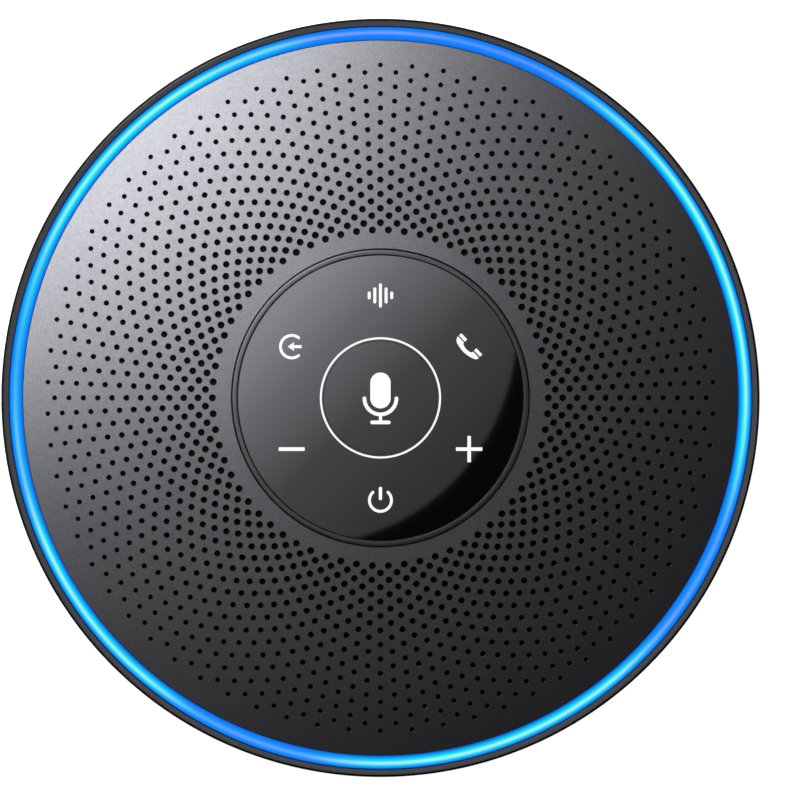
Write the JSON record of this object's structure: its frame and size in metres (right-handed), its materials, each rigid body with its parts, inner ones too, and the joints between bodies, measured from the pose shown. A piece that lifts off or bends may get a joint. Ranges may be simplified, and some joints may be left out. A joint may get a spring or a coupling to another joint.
{
  "type": "conference speakerphone",
  "caption": "Round tabletop speakerphone: perforated metal top, glossy touch panel with a mute key, light ring round the rim, tapered bowl base on a rubber foot.",
  "frame": {"origin": "on the surface it stands on, under the centre of the puck", "axes": "+Z up along the puck's axis, +Y towards the ports at the rear, +X to the right of someone facing +Y; icons read upright with +Y up"},
  "size_m": [0.128, 0.128, 0.037],
  "materials": {
    "housing_plastic": "fine spark-eroded texture, charcoal black",
    "inner_plastic": "plain moulded black",
    "grille_metal": "fine blasted, dark grey anodised",
    "panel_bezel_metal": "satin, grey anodised",
    "rim_plastic": "satin moulded black",
    "rim_metal": "satin dark grey",
    "light_guide": "translucent diffuser, lit blue and cyan",
    "panel_gloss": "high-gloss black",
    "icon_white": "translucent white, lit from behind",
    "mesh_cloth": "fine black acoustic cloth",
    "foot_rubber": "soft matt black rubber",
    "boot_rubber": "soft matt black rubber",
    "gasket_foam": "closed-cell black foam",
    "circuit_board": "green solder mask",
    "chip_black": "black moulding compound",
    "connector_plastic": "natural nylon",
    "jack_plastic": "black moulded plastic",
    "led_body": "white resin",
    "film_black": "black polyester film",
    "flex_amber": "amber polyimide",
    "plated_steel": "zinc-plated",
    "spring_steel": "bright stainless",
    "magnet_nickel": "nickel-plated",
    "coil_copper": "enamelled copper wire",
    "cone_paper": "pressed paper, black",
    "spider_cloth": "impregnated cotton",
    "basket_steel": "black e-coat",
    "battery_wrap": "shrink-wrapped cell",
    "label_foil": "matt grey foil, blank"
  },
  "bodies": {
    "housing": {"foot_ring": "foot_rubber", "base_plate": "housing_plastic", "blank_label": "label_foil", "housing_screws": "plated_steel", "lower_housing": "housing_plastic", "main_board": "circuit_board", "board_screws": "plated_steel", "audio_processor": "chip_black", "radio_shield_can": "plated_steel", "speaker_amplifier": "chip_black", "battery_connector": "connector_plastic", "usb_c_socket": "spring_steel", "aux_jack": "jack_plastic", "battery_tray": "inner_plastic", "battery_cell": "battery_wrap", "battery_lead": "film_black", "speaker_chamber": "inner_plastic", "driver_gasket": "gasket_foam", "front_gasket": "gasket_foam", "driver_basket": "basket_steel", "yoke_cup": "plated_steel", "driver_magnet": "magnet_nickel", "pole_washer": "plated_steel", "surround": "foot_rubber", "spider": "spider_cloth", "top_frame": "inner_plastic", "driver_screws": "plated_steel", "carrier_screws": "plated_steel", "led_ring_board": "circuit_board", "ring_leds": "led_body", "light_guide_ring": "light_guide", "rim_bezel": "rim_plastic", "rim_trim": "rim_metal", "top_grille": "grille_metal", "acoustic_mesh": "mesh_cloth", "mic_board_1": "circuit_board", "mic_board_2": "circuit_board", "mic_board_3": "circuit_board", "mic_board_4": "circuit_board", "mic_boot_1": "boot_rubber", "mic_boot_2": "boot_rubber", "mic_boot_3": "boot_rubber", "mic_boot_4": "boot_rubber", "panel_icons": "icon_white", "control_lens": "panel_gloss", "mute_light_ring": "icon_white", "control_carrier": "inner_plastic", "panel_bezel": "panel_bezel_metal", "control_board": "circuit_board", "icon_leds": "led_body", "light_baffle": "gasket_foam", "touch_film": "film_black", "dome_switch": "spring_steel", "flat_cable": "flex_amber", "cable_connector": "connector_plastic"},
    "mute_button": {"mute_key": "panel_gloss", "mute_icon": "icon_white"},
    "cone_assembly": {"speaker_cone": "cone_paper", "dust_cap": "cone_paper", "voice_coil": "coil_copper"}
  },
  "joints": [
    {"name": "mute_press", "type": "slide", "parent": "housing", "child": "mute_button", "axis": [0, 0, -1], "range_m": [0, 0.0005], "stiffness_N_per_m": 1200, "springref_m": -0.0004, "deforming": ["dome_switch"]},
    {"name": "cone_travel", "type": "slide", "parent": "housing", "child": "cone_assembly", "axis": [0, 0, 1], "range_m": [-0.0015, 0.0015], "stiffness_N_per_m": 1500, "deforming": ["surround", "spider"]}
  ]
}
